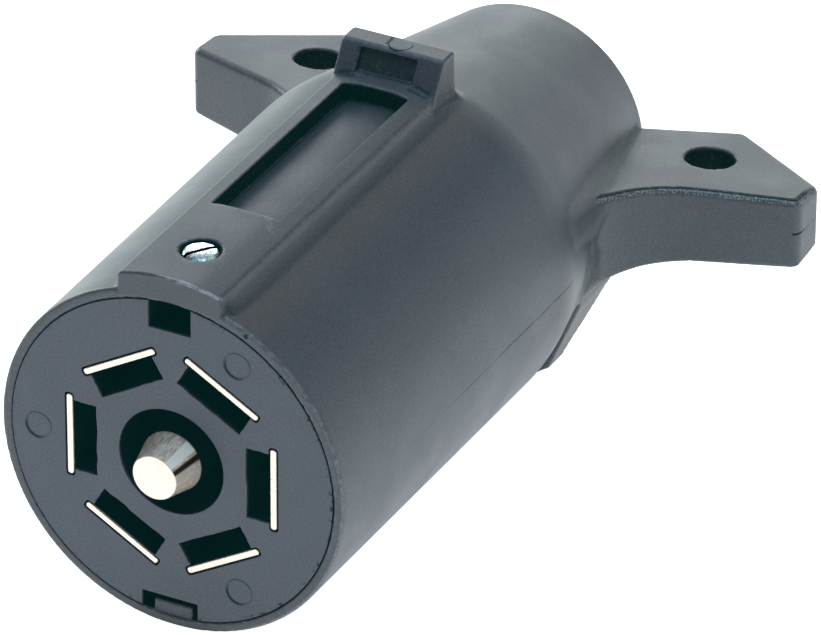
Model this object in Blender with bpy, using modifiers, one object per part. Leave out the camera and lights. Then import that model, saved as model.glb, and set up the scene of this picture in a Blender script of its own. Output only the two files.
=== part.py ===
"""Seven-way trailer wiring plug: housing, contact insert, screw terminals and cable clamp.

The plug lies with its axis along Y.  Its mating face looks along -Y, the cable leaves along +Y, and
the rib with the lid catch is on top (+Z).  The origin is the centre of the centre pin's flat end.
Helpers take lengths in millimetres, measured from the mating face, and convert them with MM.
"""
import math

import bmesh
import bpy
from mathutils import Matrix, Vector

MM = 0.001
WELD = 0.00002
GAP = 0.3

# Housing
PIN_PROUD = 4.14
FACE_R = 23.0
SHOULDER_R = 23.41
SHOULDER_Y = 58.9
TAIL_R = 15.87
TAIL_Y = 94.7
EDGE_R = 0.5
BORE_R = 21.75
CHAMBER_R = 19.5
CHAMBER_NECK_R = 15.0
CABLE_R = 6.5
ROUND_STEPS = 64

# Rib, lid catch and retaining screw on top
RIB_HALF = 6.95
RIB_R = 25.1
RIB_BASE_Z = 20.0
POCKET_HALF = 4.4
POCKET_Y = (18.6, 51.9)
POCKET_FLOOR_R = 22.7
CATCH_Y = (56.4, 59.5)
CATCH_FOOT_Y = 53.9
CATCH_TOP_Z = 28.25
CATCH_HALF = 7.0
CATCH_RECESS_X = (-4.1, 3.5)
CATCH_RECESS_Z = (25.2, 27.4)
CATCH_RECESS_DEPTH = 1.7
RETAINING_Y = 7.8
RETAINING_HEAD_R = 2.2
RETAINING_HOLE_R = 2.5

# Ears
EAR_SLOPE = 0.118
EAR_MID_Y = 79.5
EAR_TOP_Z = 4.9
EAR_BOTTOM_Z = -5.4
EAR_ROOT_X = 21.2
EAR_TIP_X = 42.8
EAR_HOLE_X = 27.7
EAR_HOLE_Y = 89.2
EAR_HOLE_R = 3.27
EAR_FRONT_R = 14.0

# Contact insert
INSERT_R = BORE_R - GAP - 0.02
INSERT_FACE_DEPTH = 15.5
INSERT_LENGTH = 31.0
WELL_R = 7.0
WELL_DEPTH = 13.5
KEYWAY_X = (-4.2, 3.3)
KEYWAY_Z = -19.1
KEY_X = (-2.8, 2.6)
KEY_Z = -19.9
TOP_NOTCH_HALF = 2.8
TOP_NOTCH_Z = 17.85

# Contacts
BLADE_APOTHEM = 13.7
BLADE_WIDTH = 11.0
BLADE_THICK = 0.8
BLADE_LENGTH = 27.4
BLOCK_RADIAL = (8.4, 13.5)
BLOCK_HALF = 3.6
BLOCK_Y = (17.5, 27.0)
SLOT_RADIAL = (10.1, 13.0)
SLOT_HALF = 4.75
SLOT_DEPTH = 14.0
WIRE_HOLE_R = 1.9
WIRE_HOLE_RADIAL = 10.9
TERMINAL_SCREW_Y = 22.5
PIN_R = 3.95
PIN_TIP_R = 2.85
PIN_REAR_Y = 38.0
PIN_SCREW_Y = 34.3
TERMINAL_SHANK_R = 1.5
TERMINAL_HEAD_R = 2.6
TERMINAL_HEAD_H = 2.0

# Side webs and cable clamp under the rear
WEB_Y = (66.1, 70.5)
BLOCK_Y_RANGE = (76.2, 91.0)
BLOCK_TAPER = 0.009
CLAMP_Y = (78.0, 87.0)
CLAMP_HALF = 10.9
CLAMP_PLATE_Z = (-17.2, -14.2)
CLAMP_TRAVEL = 2.5
JAW_HALF = 5.2
JAW_TOP_Z = -4.0
JAW_R = 6.2
CLAMP_SCREW_X = 8.1
CLAMP_SCREW_R = 1.3
CLAMP_HEAD_R = 2.2

CONTACTS = [
    ("left_turn_blade", 0),
    ("running_light_blade", 60),
    ("battery_blade", 120),
    ("right_turn_blade", 180),
    ("brake_blade", 240),
    ("ground_blade", 300),
]


def clear_scene():
    """Remove every object so that the model is the only thing in the scene."""
    for obj in list(bpy.data.objects):
        bpy.data.objects.remove(obj, do_unlink=True)


def make_collection(name):
    group = bpy.data.collections.new(name)
    bpy.context.scene.collection.children.link(group)
    return group


def make_material(name, color, roughness, metallic=0.0):
    mat = bpy.data.materials.new(name)
    mat.use_nodes = True
    shader = mat.node_tree.nodes["Principled BSDF"]
    shader.inputs["Base Color"].default_value = (*color, 1.0)
    shader.inputs["Roughness"].default_value = roughness
    shader.inputs["Metallic"].default_value = metallic
    return mat


clear_scene()
PARTS = make_collection("trailer_wiring_connector")
GUIDES = make_collection("connector_cutters")
ORIGIN = bpy.data.objects.new("mating_face", None)
ORIGIN.location.y = PIN_PROUD * MM
PARTS.objects.link(ORIGIN)

HOUSING_PLASTIC = make_material("housing_plastic", (0.075, 0.085, 0.092), 0.5)
INSERT_PLASTIC = make_material("insert_plastic", (0.068, 0.08, 0.09), 0.45)
CLAMP_PLASTIC = make_material("clamp_plastic", (0.06, 0.065, 0.07), 0.5)
CONTACT_METAL = make_material("contact_metal", (0.78, 0.76, 0.7), 0.25, 1.0)
SCREW_STEEL = make_material("screw_steel", (0.62, 0.66, 0.68), 0.3, 1.0)


def add_object(name, mesh, group):
    """Make an object in a collection, measured from the mating face."""
    obj = bpy.data.objects.new(name, mesh)
    group.objects.link(obj)
    obj.parent = ORIGIN
    if group is GUIDES:
        obj.hide_render = True
        obj.display_type = 'WIRE'
    return obj


def turned(name, profile, group=GUIDES, steps=ROUND_STEPS, closed=False, phase=0.0):
    """Turn a profile of (radius, y) about the plug's axis; it runs from the rear to the front."""
    mesh = bpy.data.meshes.new(name)
    points = [(radius * MM, 0.0, y * MM) for radius, y in profile]
    edges = [(i, i + 1) for i in range(len(points) - 1)]
    if closed:
        edges.append((len(points) - 1, 0))
    mesh.from_pydata(points, edges, [])
    obj = add_object(name, mesh, group)
    obj.rotation_euler = (-math.pi / 2, phase, 0.0)
    screw = obj.modifiers.new("Turn", 'SCREW')
    screw.axis = 'Z'
    screw.steps = steps
    screw.render_steps = steps
    screw.use_merge_vertices = True
    screw.merge_threshold = WELD
    screw.use_smooth_shade = False
    return obj


def rounded(corners, steps=6):
    """Outline through corners (x, y, radius), with an arc of that radius at each one."""
    outline = []
    for i, (x, y, radius) in enumerate(corners):
        if radius == 0:
            outline.append((x, y))
            continue
        corner = Vector((x, y))
        back = (Vector(corners[i - 1][:2]) - corner).normalized()
        ahead = (Vector(corners[(i + 1) % len(corners)][:2]) - corner).normalized()
        half = back.angle(ahead) / 2
        centre = corner + (back + ahead).normalized() * radius / math.sin(half)
        start = corner + back * radius / math.tan(half) - centre
        sweep = start.angle_signed(corner + ahead * radius / math.tan(half) - centre)
        for k in range(steps + 1):
            # angle_signed is clockwise, and a 2D rotation matrix turns the other way
            point = centre + Matrix.Rotation(-sweep * k / steps, 2) @ start
            outline.append((point.x, point.y))
    return outline


def arc(radius, start, stop, steps, center=(0.0, 0.0)):
    """Points on an arc, with angles in degrees."""
    angles = [math.radians(start + (stop - start) * k / steps) for k in range(steps + 1)]
    return [(center[0] + radius * math.cos(a), center[1] + radius * math.sin(a)) for a in angles]


def prism(name, outline, low, high, group=GUIDES, along='Y'):
    """Extrude a flat outline: (x, z) along Y, (x, y) along Z, or (y, z) along X."""
    curve = bpy.data.curves.new(name, 'CURVE')
    curve.dimensions = '2D'
    curve.fill_mode = 'BOTH'
    curve.extrude = (high - low) / 2 * MM
    spline = curve.splines.new('POLY')
    spline.points.add(len(outline) - 1)
    for point, (u, v) in zip(spline.points, outline):
        point.co = (u * MM, v * MM, 0.0, 1.0)
    spline.use_cyclic_u = True
    source = bpy.data.objects.new(name + "_outline", curve)
    GUIDES.objects.link(source)
    bpy.context.view_layer.update()
    mesh = bpy.data.meshes.new_from_object(source.evaluated_get(bpy.context.evaluated_depsgraph_get()))
    bpy.data.objects.remove(source, do_unlink=True)
    middle = (low + high) / 2 * MM
    if along == 'Y':
        mesh.transform(Matrix.Translation((0, middle, 0)) @ Matrix.Rotation(math.pi / 2, 4, 'X'))
    elif along == 'X':
        turn = Matrix(((0, 0, 1), (1, 0, 0), (0, 1, 0))).to_4x4()
        mesh.transform(Matrix.Translation((middle, 0, 0)) @ turn)
    else:
        mesh.transform(Matrix.Translation((0, 0, middle)))
    weld(mesh)
    mesh.name = name
    return add_object(name, mesh, group)


def weld(mesh):
    shape = bmesh.new()
    shape.from_mesh(mesh)
    bmesh.ops.remove_doubles(shape, verts=shape.verts, dist=WELD)
    bmesh.ops.recalc_face_normals(shape, faces=shape.faces)
    shape.to_mesh(mesh)
    shape.free()


def box(name, x, y, z, group=GUIDES):
    """A block between two values on each axis."""
    shape = bmesh.new()
    bmesh.ops.create_cube(shape, size=1.0)
    sizes = [high - low for low, high in (x, y, z)]
    centre = [(high + low) / 2 for low, high in (x, y, z)]
    bmesh.ops.scale(shape, vec=[s * MM for s in sizes], verts=shape.verts)
    bmesh.ops.translate(shape, vec=[c * MM for c in centre], verts=shape.verts)
    mesh = bpy.data.meshes.new(name)
    shape.to_mesh(mesh)
    shape.free()
    return add_object(name, mesh, group)


def rod(name, radius, start, stop, group=GUIDES, steps=24):
    """A round bar between two points that share two coordinates."""
    shape = bmesh.new()
    axis = [b - a for a, b in zip(start, stop)]
    length = math.sqrt(sum(c * c for c in axis))
    bmesh.ops.create_cone(
        shape, cap_ends=True, segments=steps, radius1=radius * MM, radius2=radius * MM, depth=length * MM
    )
    if axis[0]:
        bmesh.ops.rotate(shape, matrix=Matrix.Rotation(math.pi / 2, 3, 'Y'), verts=shape.verts)
    elif axis[1]:
        bmesh.ops.rotate(shape, matrix=Matrix.Rotation(math.pi / 2, 3, 'X'), verts=shape.verts)
    centre = [(a + b) / 2 * MM for a, b in zip(start, stop)]
    bmesh.ops.translate(shape, vec=centre, verts=shape.verts)
    mesh = bpy.data.meshes.new(name)
    shape.to_mesh(mesh)
    shape.free()
    return add_object(name, mesh, group)


def boolean(obj, tool, operation):
    step = obj.modifiers.new(tool.name, 'BOOLEAN')
    step.solver = 'EXACT'
    step.operation = operation
    step.object = tool


def join(obj, *tools):
    for tool in tools:
        boolean(obj, tool, 'UNION')


def cut(obj, *tools):
    for tool in tools:
        boolean(obj, tool, 'DIFFERENCE')


def baked(obj, name):
    """The object's shape with its modifiers applied, as a mesh measured from the mating face."""
    bpy.context.view_layer.update()
    mesh = bpy.data.meshes.new_from_object(obj.evaluated_get(bpy.context.evaluated_depsgraph_get()))
    mesh.transform(ORIGIN.matrix_world.inverted() @ obj.matrix_world)
    mesh.name = name
    bpy.data.objects.remove(obj, do_unlink=True)
    return mesh


def finish(obj, material):
    """Give a part its material and smooth shading with sharp edges kept."""
    obj.data.materials.clear()
    obj.data.materials.append(material)
    obj.data.shade_smooth()
    obj.data.set_sharp_from_angle(angle=math.radians(35))
    return obj


def mirrored(points):
    """Close a half outline at +X with its mirror image."""
    return points + [(-x, y) for x, y in reversed(points)]


# Housing ---------------------------------------------------------------------------------------

def ear_plate():
    """Both ears as one plate, thinner towards the rear."""
    half = rounded([
        (EAR_ROOT_X, 62.5, 0), (EAR_ROOT_X, 76.4, EAR_FRONT_R), (EAR_TIP_X, 83.2, 1.6),
        (EAR_TIP_X, 89.0, 2.0), (27.9, 99.1, 2.5), (16.0, 93.2, 0),
    ])
    plate = prism("ears", mirrored(half), -1.0, 1.0, along='Z')
    for vertex in plate.data.vertices:
        drop = EAR_SLOPE * (vertex.co.y / MM - EAR_MID_Y)
        if vertex.co.z > 0:
            vertex.co.z = (EAR_TOP_Z - drop) * MM
        else:
            vertex.co.z = (EAR_BOTTOM_Z + drop) * MM
    return plate


def web():
    """The cross web under the ears, with a blind hollow in each lower corner of its front."""
    half = [(22.2, -3.0), (22.2, -5.2), (16.9, -17.5), (14.3, -19.3), (11.0, -20.2)]
    low, high = WEB_Y
    plate = prism("web", mirrored(half), low - 1.0, high + 15.0)
    plan = rounded([
        (EAR_ROOT_X, low, 0), (EAR_ROOT_X, 76.4, 6.0), (27.0, 78.2, 0), (27.0, 82.0, 0), (17.0, high, 0),
    ])
    boolean(plate, prism("web_plan", mirrored(plan), -30.0, 5.0, along='Z'), 'INTERSECT')
    hollow = [(17.2, -12.0), (17.0, -13.5), (15.9, -17.0), (13.6, -18.4), (9.0, -19.4), (9.0, -12.0)]
    cut(plate, prism("web_hollow_right", hollow, low - 2.0, low + 2.6))
    cut(plate, prism("web_hollow_left", [(-x, z) for x, z in hollow], low - 2.0, low + 2.6))
    return plate


def clamp_block():
    """The solid block under the tail that the cable clamp is screwed to, smaller towards the rear."""
    low, high = BLOCK_Y_RANGE
    block = prism("clamp_block", mirrored([(12.8, -6.0), (12.8, -18.0), (11.8, -19.3)]), low, high)
    for vertex in block.data.vertices:
        size = 1 - BLOCK_TAPER * (vertex.co.y / MM - low)
        vertex.co.x *= size
        vertex.co.z *= size
    return block


def rib():
    top = arc(RIB_R, 73.9, 106.1, 10)
    return prism("rib", [(-RIB_HALF, RIB_BASE_Z), (RIB_HALF, RIB_BASE_Z)] + top, 0.0, CATCH_Y[0] + 1.0)


def catch():
    """The lid catch at the rear of the rib: its front slopes, and has a shallow recess."""
    low, high = CATCH_Y
    slope = (low - CATCH_FOOT_Y) / (CATCH_TOP_Z - 24.4)
    side = [(low - slope * (CATCH_TOP_Z - RIB_BASE_Z), RIB_BASE_Z), (high, RIB_BASE_Z),
            (high, CATCH_TOP_Z), (low, CATCH_TOP_Z)]
    block = prism("catch", side, -CATCH_HALF, CATCH_HALF, along='X')
    cut(block, box("catch_recess", CATCH_RECESS_X, (low - 8.0, low + CATCH_RECESS_DEPTH), CATCH_RECESS_Z))
    return block


def make_housing():
    body = turned("housing", [
        (0.0, TAIL_Y), (TAIL_R - 0.6, TAIL_Y), (TAIL_R - 0.15, TAIL_Y - 0.3), (TAIL_R + 0.1, TAIL_Y - 0.9),
        (SHOULDER_R - 0.25, SHOULDER_Y + 0.35), (SHOULDER_R, SHOULDER_Y - 0.6),
        (FACE_R, EDGE_R), (FACE_R - EDGE_R, 0.0), (0.0, 0.0),
    ], PARTS)
    join(body, ear_plate(), web(), clamp_block(), rib(), catch())
    cut(body, turned("inner_space", [
        (0.0, TAIL_Y + 1.0), (CABLE_R + 1.2, TAIL_Y + 1.0), (CABLE_R + 1.2, TAIL_Y), (CABLE_R, TAIL_Y - 1.4),
        (CABLE_R, 75.0), (CHAMBER_NECK_R, 71.0), (CHAMBER_R, 57.0), (CHAMBER_R, INSERT_LENGTH + GAP),
        (BORE_R, INSERT_LENGTH + GAP), (BORE_R, -1.0), (0.0, -1.0),
    ], phase=math.pi / ROUND_STEPS))
    join(body, box("insert_key", KEY_X, (GAP, INSERT_LENGTH - 1.0), (KEY_Z - 2.5, KEY_Z)))
    for side in (-1, 1):
        x = side * EAR_HOLE_X
        cut(body, rod("ear_hole", EAR_HOLE_R, (x, EAR_HOLE_Y, -9.0), (x, EAR_HOLE_Y, 9.0), steps=32))
    reach = math.degrees(math.acos(POCKET_HALF / POCKET_FLOOR_R))
    floor = arc(POCKET_FLOOR_R, 180.0 - reach, reach, 8)
    cut(body, prism("rib_pocket", floor + [(POCKET_HALF, 30.0), (-POCKET_HALF, 30.0)], *POCKET_Y))
    cut(body, rod("screw_seat", RETAINING_HOLE_R, (0, RETAINING_Y, 23.2), (0, RETAINING_Y, 27.0)))
    cut(body, rod("screw_hole", 1.65, (0, RETAINING_Y, 19.0), (0, RETAINING_Y, 24.0), steps=16))
    room = GAP
    y_room = (CLAMP_Y[0] - room, CLAMP_Y[1] + room)
    cut(body, box("clamp_channel", (-14.0, 14.0), y_room, (-26.0, CLAMP_PLATE_Z[1] + CLAMP_TRAVEL + room)))
    cut(body, box("jaw_opening", (-JAW_HALF - room, JAW_HALF + room), y_room, (-15.0, 0.0)))
    for side in (-1, 1):
        x = side * CLAMP_SCREW_X
        y = sum(CLAMP_Y) / 2
        cut(body, rod("clamp_thread", CLAMP_SCREW_R + room, (x, y, -18.0), (x, y, -3.2), steps=16))
    return finish(body, HOUSING_PLASTIC)


# Contact insert --------------------------------------------------------------------------------

def turn_about_axis(obj, angle):
    """Turn an object about the plug's axis, from +X towards +Z."""
    obj.rotation_euler.y = -math.radians(angle)


def make_insert():
    insert = turned("contact_insert", [
        (PIN_R + GAP, INSERT_LENGTH), (INSERT_R, INSERT_LENGTH), (INSERT_R, 0.3), (INSERT_R - 0.3, 0.0),
        (WELL_R, 0.0), (WELL_R, WELL_DEPTH), (PIN_R + GAP, WELL_DEPTH),
    ], PARTS, closed=True)
    cut(insert, box("keyway", KEYWAY_X, (-1.0, INSERT_LENGTH + 1.0), (-25.0, KEYWAY_Z)))
    cut(insert, box("top_notch", (-TOP_NOTCH_HALF, TOP_NOTCH_HALF), (-1.0, INSERT_LENGTH + 1.0),
                    (TOP_NOTCH_Z, 25.0)))
    inner, middle, outer = BLOCK_HALF + 0.35, BLADE_WIDTH / 2 + 0.35, 3.4
    low, blade_in, blade_out = BLOCK_RADIAL[0] - GAP, BLADE_APOTHEM - 0.9, BLADE_APOTHEM + 1.1
    pocket = [
        (low, -inner), (blade_in, -inner), (blade_in, -middle), (blade_out, -middle), (blade_out, -outer),
        (25.0, -outer), (25.0, outer), (blade_out, outer), (blade_out, middle), (blade_in, middle),
        (blade_in, inner), (low, inner),
    ]
    shapes = (
        prism("terminal_pocket", pocket, INSERT_FACE_DEPTH, INSERT_LENGTH + 1.0),
        box("blade_groove", (BLADE_APOTHEM - 0.7, BLADE_APOTHEM + 0.7),
            (-1.0, INSERT_FACE_DEPTH + 1.0), (-BLADE_WIDTH / 2 - GAP, BLADE_WIDTH / 2 + GAP)),
        box("blade_slot", SLOT_RADIAL, (-1.0, SLOT_DEPTH), (-SLOT_HALF, SLOT_HALF)),
    )
    for _, angle in CONTACTS:
        for shape in shapes:
            tool = add_object(shape.name + "_" + str(angle), shape.data, GUIDES)
            turn_about_axis(tool, angle)
            cut(insert, tool)
    for shape in shapes:
        bpy.data.objects.remove(shape, do_unlink=True)
    return finish(insert, INSERT_PLASTIC)


# Contacts and their screws ---------------------------------------------------------------------

def blade_mesh():
    """A contact strip with a screw terminal on its inner side, for the contact at angle zero."""
    end = BLADE_THICK / 2 - 0.05
    low, high = BLADE_APOTHEM - BLADE_THICK / 2, BLADE_APOTHEM + BLADE_THICK / 2
    half = BLADE_WIDTH / 2
    strip = prism("blade_strip", rounded([
        (low, -half, end), (high, -half, end), (high, half, end), (low, half, end),
    ], 4), 0.0, BLADE_LENGTH)
    join(strip, box("terminal_block", BLOCK_RADIAL, BLOCK_Y, (-BLOCK_HALF, BLOCK_HALF)))
    cut(strip, rod("wire_hole", WIRE_HOLE_R, (WIRE_HOLE_RADIAL, BLOCK_Y[0] + 1.5, 0),
                   (WIRE_HOLE_RADIAL, BLOCK_Y[1] + 1.0, 0), steps=20))
    cut(strip, rod("terminal_thread", TERMINAL_SHANK_R + GAP, (WIRE_HOLE_RADIAL, TERMINAL_SCREW_Y, 0),
                   (16.0, TERMINAL_SCREW_Y, 0), steps=16))
    return baked(strip, "contact_blade")


def screw_mesh(name, shank_r, length, head_r, head_h, slot):
    """A slotted screw that points down: its head starts at z = 0 and its tip is at z = -length."""
    shape = turned(name, [
        (0.0, head_h), (head_r - 0.35, head_h), (head_r, head_h - 0.4), (head_r, 0.0),
        (shank_r, 0.0), (shank_r, 0.4 - length), (shank_r - 0.4, -length), (0.0, -length),
    ], steps=20)
    cut(shape, box(name + "_slot", (-head_r - 1.0, head_r + 1.0), (-slot / 2, slot / 2),
                   (head_h * 0.5, head_h + 1.0)))
    shape.rotation_euler.x = 0.0
    mesh = baked(shape, name)
    return mesh


def make_contacts():
    mesh = blade_mesh()
    reach = BLADE_APOTHEM + BLADE_THICK / 2 + GAP
    screw = screw_mesh("terminal_screw", TERMINAL_SHANK_R, 4.3, TERMINAL_HEAD_R, TERMINAL_HEAD_H, 0.8)
    for name, angle in CONTACTS:
        blade = add_object(name, mesh, PARTS)
        turn_about_axis(blade, angle)
        finish(blade, CONTACT_METAL)
        turned_screw = add_object(name.replace("_blade", "_terminal_screw"), screw, PARTS)
        bearing = math.radians(angle)
        turned_screw.location = (
            reach * math.cos(bearing) * MM, TERMINAL_SCREW_Y * MM, reach * math.sin(bearing) * MM
        )
        turned_screw.rotation_euler.y = math.pi / 2 - bearing
        finish(turned_screw, SCREW_STEEL)


def make_centre_pin():
    pin = turned("reverse_light_pin", [
        (0.0, PIN_REAR_Y), (PIN_R, PIN_REAR_Y), (PIN_R, -0.2), (PIN_TIP_R + 0.06, -PIN_PROUD + 0.1),
        (PIN_TIP_R - 0.06, -PIN_PROUD), (0.0, -PIN_PROUD),
    ], PARTS, 32)
    cut(pin, rod("pin_wire_hole", WIRE_HOLE_R, (0, PIN_SCREW_Y - 5.0, 0), (0, PIN_REAR_Y + 1.0, 0), steps=20))
    cut(pin, rod("pin_thread", TERMINAL_SHANK_R + GAP, (0, PIN_SCREW_Y, 0), (0, PIN_SCREW_Y, 6.0), steps=16))
    finish(pin, CONTACT_METAL)
    mesh = screw_mesh("pin_screw", TERMINAL_SHANK_R, 3.1, TERMINAL_HEAD_R, TERMINAL_HEAD_H, 0.8)
    screw = add_object("reverse_light_terminal_screw", mesh, PARTS)
    screw.location = (0.0, PIN_SCREW_Y * MM, (PIN_R + GAP) * MM)
    finish(screw, SCREW_STEEL)


# Screws and clamp on the housing ---------------------------------------------------------------

def make_retaining_screw():
    seat = 23.5
    mesh = screw_mesh("retaining_screw", 1.35, seat - TOP_NOTCH_Z - GAP, RETAINING_HEAD_R, 1.45, 0.7)
    screw = add_object("retaining_screw", mesh, PARTS)
    screw.location = (0.0, RETAINING_Y * MM, seat * MM)
    screw.rotation_euler.z = math.radians(54)
    finish(screw, SCREW_STEEL)


def make_clamp():
    """The saddle that grips the cable from below, and its two screws."""
    low, high = CLAMP_PLATE_Z
    saddle = box("cable_clamp", (-CLAMP_HALF, CLAMP_HALF), CLAMP_Y, (low, high), PARTS)
    join(saddle, box("jaw", (-JAW_HALF, JAW_HALF), CLAMP_Y, (high - 1.0, JAW_TOP_Z)))
    cut(saddle, rod("jaw_seat", JAW_R, (0, 70.0, 0), (0, 95.0, 0), steps=32))
    y = sum(CLAMP_Y) / 2
    seat = low + 1.7
    mesh = screw_mesh("clamp_screw", CLAMP_SCREW_R, 9.0, CLAMP_HEAD_R, 1.4, 0.8)
    for side, name in ((-1, "left"), (1, "right")):
        x = side * CLAMP_SCREW_X
        cut(saddle, rod("clamp_hole", CLAMP_SCREW_R + GAP, (x, y, low - 1.0), (x, y, high + 1.0), steps=16))
        cut(saddle, rod("clamp_seat", CLAMP_HEAD_R + GAP, (x, y, low - 1.0), (x, y, seat)))
        screw = add_object("cable_clamp_screw_" + name, mesh, PARTS)
        screw.location = (x * MM, y * MM, (seat - GAP) * MM)
        screw.rotation_euler.x = math.pi
        finish(screw, SCREW_STEEL)
    finish(saddle, CLAMP_PLASTIC)


make_housing()
make_insert()
make_contacts()
make_centre_pin()
make_retaining_screw()
make_clamp()
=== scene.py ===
"""Looks for the trailer wiring plug: fine moulded shapes and procedural materials on the CAD frame.

Lengths are in millimetres measured from the mating face, as in the CAD: x to one ear, y towards
the cable, z up through the rib.  MM converts them, and FACE_Y places the mating face in the frame.
The housing and the cable clamp are distance fields: rounded unions and cuts give them the fillets
of a moulded part.  The insert is extruded outlines, and the pin and screws are turned.
"""
import math

import bmesh
import bpy
import numpy as np
from mathutils import Matrix, Vector


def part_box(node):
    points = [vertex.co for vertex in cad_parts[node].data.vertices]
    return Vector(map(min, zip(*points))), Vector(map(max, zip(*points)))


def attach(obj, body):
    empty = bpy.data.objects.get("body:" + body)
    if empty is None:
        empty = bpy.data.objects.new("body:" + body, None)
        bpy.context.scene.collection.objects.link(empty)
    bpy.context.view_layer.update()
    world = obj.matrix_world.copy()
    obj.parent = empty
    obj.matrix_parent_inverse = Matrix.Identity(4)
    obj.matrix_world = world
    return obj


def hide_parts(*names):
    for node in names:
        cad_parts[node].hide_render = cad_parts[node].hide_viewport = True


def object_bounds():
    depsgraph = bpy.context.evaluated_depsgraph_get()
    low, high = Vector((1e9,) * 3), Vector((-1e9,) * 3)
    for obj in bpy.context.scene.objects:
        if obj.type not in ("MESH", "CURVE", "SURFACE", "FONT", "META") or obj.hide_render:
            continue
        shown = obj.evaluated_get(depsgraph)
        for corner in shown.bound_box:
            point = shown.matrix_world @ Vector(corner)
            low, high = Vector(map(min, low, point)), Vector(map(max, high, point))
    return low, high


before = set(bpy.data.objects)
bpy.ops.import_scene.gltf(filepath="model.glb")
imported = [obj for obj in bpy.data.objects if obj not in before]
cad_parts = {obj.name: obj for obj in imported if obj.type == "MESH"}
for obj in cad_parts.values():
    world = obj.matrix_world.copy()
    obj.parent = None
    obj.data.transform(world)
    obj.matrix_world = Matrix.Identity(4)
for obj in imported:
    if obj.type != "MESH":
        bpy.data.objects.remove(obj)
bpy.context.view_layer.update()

MM = 0.001
FACE_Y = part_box("contact_insert")[0][1] / MM
PIN_PROUD = FACE_Y

# Housing
CELL = 0.4
FACE_R = 23.0
SHOULDER_R = 23.41
SHOULDER_Y = 58.9
TAIL_R = 15.87
TAIL_Y = 94.7
BORE_R = 21.66
CHAMBER_R = 19.5
CHAMBER_NECK_R = 15.0
CABLE_R = 6.5
INSERT_LENGTH = 31.0
RIB_HALF = 6.95
RIB_R = 25.1
POCKET_HALF = 4.4
POCKET_Y = (18.6, 51.9)
POCKET_FLOOR_R = 22.7
TOP_CUT_Z = 15.0   # what belongs to the top side stops here
CATCH_Y = (56.4, 59.5)
CATCH_FOOT_Y = 53.9
CATCH_FOOT_Z = 24.4
CATCH_TOP_Z = 28.25
CATCH_HALF = 7.0
CATCH_LEAN = (CATCH_Y[0] - CATCH_FOOT_Y) / (CATCH_TOP_Z - CATCH_FOOT_Z)
CATCH_RECESS_X = (-4.1, 3.5)
CATCH_RECESS_Z = (25.0, 27.65)
CATCH_RECESS_DEPTH = 0.6
CATCH_CIRCLE = (0.38, 57.9, CATCH_TOP_Z)
CATCH_CIRCLE_R = 1.58
POCKET_RUB = (4.3, 17.2, 24.7)
RING_DOT = (10.2, 0.0, 20.0)
RETAINING_Y = 7.8
RETAINING_HOLE_R = 2.45
RETAINING_SEAT_Z = 23.2
RETAINING_BORE_R = 1.65
EAR_SLOPE = 0.1
EAR_MID_Y = 79.5
EAR_TOP_Z = 4.9
EAR_BOTTOM_Z = -5.4
EAR_HOLE = (27.7, 89.2)
EAR_HOLE_R = 3.22
WEB_Y = (66.1, 70.5)
BLOCK_Y = (76.2, 91.0)
BLOCK_TAPER = 0.009
CLAMP_Y = (78.0, 87.0)
CLAMP_MID_Y = sum(CLAMP_Y) / 2
CLAMP_HALF = 10.9
CLAMP_PLATE_Z = (-17.2, -14.2)
CLAMP_TRAVEL = 2.5
JAW_HALF = 5.2
JAW_TOP_Z = -4.0
JAW_R = 6.2
CLAMP_SCREW_X = 8.1
CLAMP_SCREW_R = 1.3
CLAMP_HEAD_R = 2.2

# Insert and contacts
INSERT_R = 21.62
WELL_R = 7.0
WELL_DEPTH = 13.5
POCKET_DEPTH = 15.5
KEYWAY_X = (-4.2, 3.3)
KEYWAY_Z = -19.1
KEY_X = (-2.8, 2.6)
KEY_Z = -19.9
TOP_NOTCH_HALF = 2.8
TOP_NOTCH_Z = 17.85
BLADE_APOTHEM = 13.7
BLADE_HALF = 5.5
BLADE_THICK = 0.8
BLADE_LENGTH = 27.4
SLOT_RADIAL = (10.1, 13.0)
SLOT_HALF = 4.75
GROOVE_CORNER_R = 0.42
TERMINAL_RADIAL = (8.4, 13.5)
TERMINAL_HALF = 3.6
TERMINAL_Y = (17.5, 27.0)
TERMINAL_SCREW_Y = 22.5
WIRE_HOLE_R = 1.9
WIRE_HOLE_RADIAL = 10.9
PIN_R = 3.95
PIN_TIP_R = 2.8
PIN_REAR_Y = 38.0
PIN_SCREW_Y = 34.3
GAP = 0.3

EJECTOR_R = 1.75
EJECTOR_MARKS = [(-18.0, 0.0), (9.0, 15.6), (9.0, -15.6)]

BLADES = {
    "left_turn": 0,
    "running_light": 60,
    "battery": 120,
    "right_turn": 180,
    "brake": 240,
    "ground": 300,
}


# Distance fields -------------------------------------------------------------------------------
# Each function takes arrays and gives a distance in millimetres, negative inside.

def union(a, b, r):
    """Both shapes, with a fillet of radius r in the corner between them."""
    u = np.maximum(r - a, 0.0)
    v = np.maximum(r - b, 0.0)
    return np.maximum(r, np.minimum(a, b)) - np.sqrt(u * u + v * v)


def common(a, b, r):
    """Where both shapes are, with the edge between them rounded to radius r."""
    u = np.maximum(r + a, 0.0)
    v = np.maximum(r + b, 0.0)
    return np.minimum(-r, np.maximum(a, b)) + np.sqrt(u * u + v * v)


def without(a, b, r):
    return common(a, -b, r)


def span(values, low, high):
    """Distance to the slab between two values of one coordinate."""
    return np.abs(values - (low + high) / 2) - (high - low) / 2


def slope(across, along, start, end):
    """Distance to the side of a line through (across, along) points, positive on the outer side."""
    (a0, s0), (a1, s1) = start, end
    length = math.hypot(a1 - a0, s1 - s0)
    return ((across - a0) * (s1 - s0) - (along - s0) * (a1 - a0)) / length


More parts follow.
